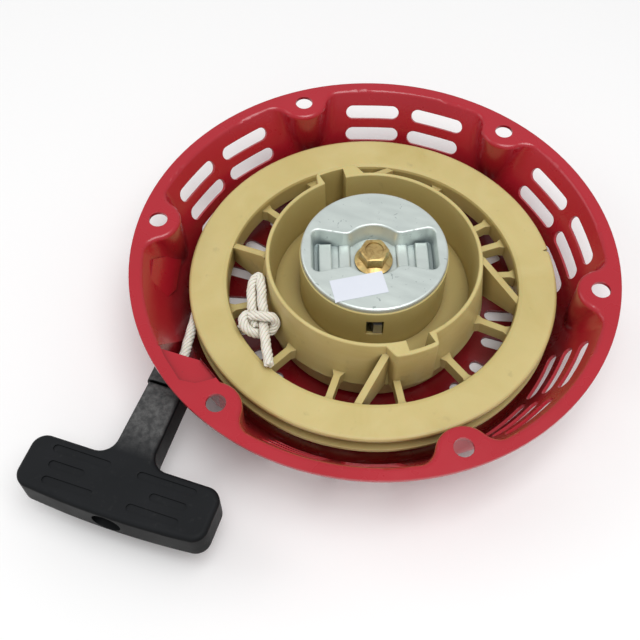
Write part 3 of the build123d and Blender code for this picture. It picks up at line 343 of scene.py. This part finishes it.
def zinc_plate():
    """Bright zinc on pressed steel, with rolling streaks, pits and smudges of layout ink."""
    paint = Paint("zinc_plate")
    streaks = paint.noise(60.0, 5.0, 0.6, stretch=(1.0, 5.0, 1.0))
    tone = paint.mix(streaks, ZINC, ZINC_BRIGHT)
    cloud = paint.ramp(paint.noise(55.0, 4.0), (0.4, 0.0), (0.8, 1.0))
    tone = paint.mix(paint.math("MULTIPLY", cloud, 0.4), tone, ZINC_CLOUD)
    pits = paint.ramp(paint.noise(380.0, 4.0, distortion=0.8), (0.66, 0.0), (0.70, 1.0))
    tone = paint.mix(paint.math("MULTIPLY", pits, 0.5), tone, ZINC_PIT)
    # painted shade: darkening in tight corners
    tone = paint.mix(paint.ramp(paint.shade(0.006), (0.2, 0.9), (0.75, 0.0)), tone, ZINC_CORNER_SHADE)
    for place, full, none, colour in INK:
        ragged = paint.noise(330.0, 5.0, 0.7, distortion=1.0)
        smudge = paint.math("ADD", paint.spot(place, full, none), ragged)
        tone = paint.mix(paint.ramp(smudge, (1.0, 0.0), (1.14, 0.9)), tone, colour)
    paint.set(Base_Color=tone, Metallic=0.6,
              Roughness=paint.ramp(streaks, (0.3, 0.34), (0.7, 0.50)))
    grain = paint.noise(500.0, 3.0)
    paint.bump((grain, 0.15, 0.05 * MM), (streaks, 0.10, 0.1 * MM), edge=0.4 * MM)
    return paint.material


def yellow_zinc():
    """Yellow chromate over zinc, brown and green where it pools."""
    paint = Paint("yellow_zinc")
    tone = paint.ramp(paint.noise(260.0, 4.0, distortion=1.0), (0.25, CHROMATE_BROWN),
                      (0.45, CHROMATE_GOLD), (0.6, CHROMATE_PALE), (0.75, CHROMATE_GREEN))
    # painted shade: darkening in tight corners
    tone = paint.mix(paint.ramp(paint.shade(0.004), (0.2, 1.0), (0.8, 0.0)), tone, CHROMATE_CORNER_SHADE)
    paint.set(Base_Color=tone, Metallic=0.85,
              Roughness=paint.ramp(paint.noise(300.0), (0.3, 0.28), (0.7, 0.48)))
    paint.bump((paint.noise(900.0, 3.0), 0.3, 0.05 * MM))
    return paint.material


def plain_steel():
    """Bare oiled steel with drawing streaks."""
    paint = Paint("plain_steel")
    streaks = paint.noise(120.0, 4.0, stretch=(1.0, 1.0, 6.0))
    paint.set(Base_Color=paint.mix(streaks, STEEL_DULL, STEEL), Metallic=0.95,
              Roughness=paint.ramp(streaks, (0.2, 0.3), (0.8, 0.5)))
    paint.bump((streaks, 0.2, 0.05 * MM))
    return paint.material


def black_grip():
    """Satin black moulding with a fine spark-eroded grain, dust and a painted sheen on the top of the
    stem, painted shade down its sides.
    """
    paint = Paint("black_grip")
    tone = paint.mix(paint.noise(50.0, 4.0), BLACK, BLACK_WORN)
    facing_up = paint.axis(paint.coordinates.outputs["Normal"], "Z")
    # painted shade: faces that don't face up are darker
    tone = paint.mix(paint.ramp(facing_up, (0.3, 0.0), (0.8, 1.0)), BLACK_SIDE_SHADE, tone)
    # dust and a painted sheen on the upward faces of the stem
    stem = paint.add("ShaderNodeMapRange", {
        "Value": paint.axis(paint.place, "Y"),
        "From Min": STEM_DUST_AND_SHEEN_FROM, "From Max": STEM_DUST_AND_SHEEN_TO}).outputs[0]
    on_stem = paint.math("MULTIPLY", stem, paint.ramp(facing_up, (0.5, 0.0), (0.95, 1.0)))
    grit = paint.noise(300.0, 5.0, 0.65)
    cloud = paint.ramp(grit, (0.4, 0.3), (0.75, 1.0))
    tone = paint.mix(paint.math("MULTIPLY", on_stem, cloud), tone, STEM_DUST_AND_SHEEN)
    dust = paint.ramp(grit, (0.58, 0.0), (0.75, 1.0))
    tone = paint.mix(paint.math("MULTIPLY", dust, 0.16), tone, GREY_DUST)
    paint.set(Base_Color=tone,
              Roughness=paint.ramp(paint.noise(45.0, 4.0), (0.3, 0.40), (0.7, 0.54)),
              IOR=1.45, Specular_IOR_Level=0.08)
    grain = paint.noise(1800.0, 2.0)
    sink = paint.noise(80.0, 3.0)
    paint.bump((grain, 0.35, 0.06 * MM), (sink, 0.12, 0.3 * MM))
    return paint.material


def rope_fibre():
    """Off-white nylon yarn, with painted brown shade between the strands."""
    paint = Paint("rope_fibre")
    fibres = paint.noise(2200.0, 2.0)
    tone = paint.mix(fibres, YARN, YARN_PALE)
    # painted shade: brown darkening between the strands
    tone = paint.mix(paint.ramp(paint.shade(0.0012), (0.25, 1.0), (0.85, 0.0)), tone, YARN_CREVICE_SHADE)
    paint.set(Base_Color=tone, Roughness=0.62, Sheen_Weight=0.25, Subsurface_Weight=0.1,
              Subsurface_Scale=1 * MM)
    paint.bump((fibres, 0.5, 0.1 * MM))
    return paint.material


def label_paper():
    """White label with a faint blue cast and a paper grain."""
    paint = Paint("label_paper")
    paint.set(Base_Color=paint.mix(paint.noise(120.0, 3.0), PAPER, PAPER_PALE), Roughness=0.55)
    paint.bump((paint.noise(1200.0, 3.0), 0.2, 0.05 * MM))
    return paint.material


def floor_card():
    """Plain white card."""
    paint = Paint("floor_card")
    paint.set(Base_Color=paint.mix(paint.noise(3.0, 2.0), CARD, CARD_PALE), Roughness=0.9)
    return paint.material


def dress(material, *nodes):
    """Gives CAD nodes a material in place of their own."""
    for name in nodes:
        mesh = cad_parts[name].data
        mesh.materials.clear()
        mesh.materials.append(material)


# ------------------------------------------------------------------ rope
def smooth_path(corners, step):
    """Evenly spaced points on a smooth line through corners given in millimetres."""
    knots = [Vector(c) * MM for c in corners]
    knots = [2 * knots[0] - knots[1]] + knots + [2 * knots[-1] - knots[-2]]
    fine = []
    for a, b, c, d in zip(knots, knots[1:], knots[2:], knots[3:]):
        handle_b = b + (c - a) / 6
        handle_c = c - (d - b) / 6
        fine += interpolate_bezier(b, handle_b, handle_c, c, CURVE_STEPS)[:-1]
    fine.append(knots[-2])
    return even_points(fine, step)


def even_points(line, step):
    """The same line with its points an even step apart."""
    total = sum((b - a).length for a, b in zip(line, line[1:]))
    count = max(2, round(total / step))
    gap = total / count
    even = [line[0].copy()]
    gone = 0.0
    for a, b in zip(line, line[1:]):
        length = (b - a).length
        while len(even) < count and gone + length >= gap * len(even):
            even.append(a.lerp(b, (gap * len(even) - gone) / length))
        gone += length
    even.append(line[-1].copy())
    return even


def side_vectors(path):
    """Two directions across the path at each of its points, without twist."""
    along = (path[1] - path[0]).normalized()
    first = along.orthogonal().normalized()
    pairs = []
    for i, place in enumerate(path):
        ahead = (path[min(i + 1, len(path) - 1)] - path[max(i - 1, 0)]).normalized()
        first = (first - ahead * first.dot(ahead)).normalized()
        pairs.append((first.copy(), ahead.cross(first)))
    return pairs


def braid(name, path, closed=False, turns=None):
    """Rope along a path: slanted strands side by side on a core, every other one dipping.

    A closed path is a ring, and turns sets how often a strand winds around a long run."""
    curve = bpy.data.curves.new(name, "CURVE")
    curve.dimensions = "3D"
    curve.bevel_depth = STRAND_R
    curve.bevel_resolution = LONG_STRAND_SIDES if closed or turns else STRAND_SIDES
    curve.use_fill_caps = True
    sides = side_vectors(path)
    length = sum((b - a).length for a, b in zip(path, path[1:]))
    turns = turns or length / LAY_LENGTH
    if closed:
        turns = round(turns)
    spans = len(path) if closed else len(path) - 1
    for k in range(STRANDS):
        spline = new_spline(curve, len(path), closed)
        for i, (place, (first, second)) in enumerate(zip(path, sides)):
            turn = math.tau * turns * i / spans
            angle = turn + math.tau * k / STRANDS
            lift = LAY_R + WEAVE * math.cos(DIPS * turn + math.pi * k)
            spot = place + lift * (math.cos(angle) * first + math.sin(angle) * second)
            spline.points[i].co = (*spot, 1.0)
    spline = new_spline(curve, len(path), closed)
    for point, place in zip(spline.points, path):
        point.co = (*place, 1.0)
        point.radius = CORE_R / STRAND_R
    rope = bpy.data.objects.new(name, curve)
    bpy.context.scene.collection.objects.link(rope)
    bpy.ops.object.select_all(action="DESELECT")
    rope.select_set(True)
    bpy.context.view_layer.objects.active = rope
    bpy.ops.object.convert(target="MESH")
    rope = bpy.context.view_layer.objects.active
    rope.name = name
    bpy.ops.object.shade_smooth()
    return rope


def new_spline(curve, count, closed):
    """A straight-sided spline with room for its points."""
    spline = curve.splines.new("POLY")
    spline.points.add(count - 1)
    spline.use_cyclic_u = closed
    return spline


def joined(name, *pieces):
    """Several pieces as one."""
    bpy.ops.object.select_all(action="DESELECT")
    for piece in pieces:
        piece.select_set(True)
    bpy.context.view_layer.objects.active = pieces[0]
    if len(pieces) > 1:
        bpy.ops.object.join()
    whole = bpy.context.view_layer.objects.active
    whole.name = name
    return whole


def finish_rope(rope, body, material, node):
    """A rope piece on a body, in place of a CAD node."""
    rope.data.materials.clear()
    rope.data.materials.append(material)
    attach(rope, body)
    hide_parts(node)


def pulled_rope(material):
    """Rope that the grip draws out: at rest it lies close-packed in the wall's hole and the grip."""
    near = WALL_Y - DRAWN_FROM
    far = WALL_Y - DRAWN_TO
    count = round((near - far + PULL) / LONG_STEP)

    def drawn(y):
        """Length of rope between the near end and a place, once it is pulled out."""
        t = (near - y) / (near - far)
        return near - y + t * t * (3 - 2 * t) * PULL

    path = []
    for i in range(count + 1):
        goal = drawn(far) * i / count
        high, low = near, far
        for _ in range(HALVINGS):
            middle = (high + low) / 2
            if drawn(middle) < goal:
                high = middle
            else:
                low = middle
        path.append(Vector((ROPE_X, (high + low) / 2, ROPE_Z)))
    rope = braid("rope_drawn_out", path, turns=drawn(far) / LAY_LENGTH)
    rope.data.materials.clear()
    rope.data.materials.append(material)
    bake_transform(rope)


def curled_label():
    """Paper label whose corner hangs over the edge of the disc."""
    bpy.ops.object.select_all(action="DESELECT")
    across, along = LABEL_CELLS
    bpy.ops.mesh.primitive_grid_add(x_subdivisions=across, y_subdivisions=along, size=1.0)
    label = bpy.context.active_object
    label.name = "label_on_disc"
    label.scale = (*LABEL_SIZE, 1.0)
    label.rotation_euler = (0.0, 0.0, LABEL_TURN)
    label.location = (*LABEL_PLACE, LABEL_Z)
    bpy.ops.object.transform_apply(location=True, rotation=True, scale=True)
    for vertex in label.data.vertices:
        past = math.hypot(vertex.co.x, vertex.co.y) - DISC_EDGE
        if past > 0:
            vertex.co.z -= LABEL_CURL * past * past
    thick = label.modifiers.new("thick", "SOLIDIFY")
    thick.thickness = LABEL_T
    thick.offset = 1.0
    bpy.ops.object.modifier_apply(modifier="thick")
    bpy.ops.object.shade_smooth_by_angle(angle=LABEL_CREASE)
    label.data.materials.append(label_paper())
    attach(label, "guide")
    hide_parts("paper_label")


def reel_layers():
    """Rings of rope on the reel, one to a layer."""
    rings = []
    for radius in REEL_LAYERS:
        count = round(math.tau * radius / LONG_STEP)
        circle = [Vector((radius * math.cos(math.tau * i / count),
                          radius * math.sin(math.tau * i / count), ROPE_Z)) for i in range(count)]
        rings.append(braid("rope_layer", circle, closed=True))
    return joined("rope_on_reel", *rings)


def slip_knot():
    """The knot inside the drum: a wrap and a lobe around the foot of a loop, with a loose tail."""
    routes = {"knot_wrap": KNOT_WRAP, "knot_lobe": KNOT_LOBE, "knot_loop": KNOT_LOOP,
              "knot_tail": KNOT_TAIL}
    return joined("rope_knot", *[braid(name, smooth_path(route, SHORT_STEP))
                                 for name, route in routes.items()])


def ropes(material):
    finish_rope(braid("rope_to_wall", smooth_path(REEL_TO_WALL, SHORT_STEP)),
                "housing", material, "rope_run")
    finish_rope(reel_layers(), "reel", material, "rope_winding")
    finish_rope(slip_knot(), "reel", material, "reel_knot")
    pulled_rope(material)
    finish_rope(braid("rope_in_grip", smooth_path(GRIP_INSIDE, 2 * SHORT_STEP)),
                "handle", material, "grip_rope")


def floor():
    """Card under the object."""
    bpy.ops.mesh.primitive_plane_add(size=FLOOR_SIZE, location=(0, 0, cad_box[0][2] - FLOOR_GAP))
    card = bpy.context.active_object
    card.name = "floor_card"
    card.data.materials.append(floor_card())


def soft_light(name, place, size, power):
    """Square soft box that faces the object."""
    data = bpy.data.lights.new(name, "AREA")
    data.shape = "SQUARE"
    data.size = size
    data.energy = power
    lamp = bpy.data.objects.new(name, data)
    bpy.context.scene.collection.objects.link(lamp)
    lamp.location = place
    lamp.rotation_mode = "QUATERNION"
    lamp.rotation_quaternion = (LIGHT_AIM - Vector(place)).to_track_quat("-Z", "Y")


def studio():
    """Even white air, two soft boxes and the floor."""
    scene = bpy.context.scene
    scene.view_settings.view_transform = "Standard"
    world = bpy.data.worlds.new("studio_air")
    world.use_nodes = True
    air = world.node_tree.nodes["Background"]
    air.inputs["Color"].default_value = grey(1.0)
    air.inputs["Strength"].default_value = AIR_STRENGTH
    scene.world = world
    soft_light("key_light", KEY_PLACE, KEY_SIZE, KEY_POWER)
    soft_light("side_light", SIDE_PLACE, SIDE_SIZE, SIDE_POWER)
    floor()


def camera():
    """Looks down at the open side from the front."""
    data = bpy.data.cameras.new("camera")
    data.lens = CAMERA_LENS
    data.sensor_width = CAMERA_SENSOR
    data.clip_start = CAMERA_NEAR
    eye = bpy.data.objects.new("camera", data)
    bpy.context.scene.collection.objects.link(eye)
    side = CAMERA_AIM.cross(CAMERA_UP)
    turn = Matrix((side, CAMERA_UP, -CAMERA_AIM)).transposed()
    eye.rotation_mode = "QUATERNION"
    eye.rotation_quaternion = turn.to_quaternion()
    eye.location = CAMERA_PLACE
    bpy.context.scene.camera = eye


# ------------------------------------------------------------------ put together
camera()
studio()
dress(red_gloss_paint(), "cover")
dress(moulded_nylon(), "reel")
dress(zinc_plate(), "ratchet_guide")
dress(yellow_zinc(), "center_bolt")
dress(plain_steel(), "center_post", "post_rivets", "friction_spring", "mainspring", "grip_washer",
      "pawl_a", "pawl_b", "pawl_spring_a", "pawl_spring_b")
dress(black_grip(), "grip", "grip_collar")
fibre = rope_fibre()
dress(fibre, "grip_knot")
ropes(fibre)
curled_label()

bpy.context.view_layer.update()
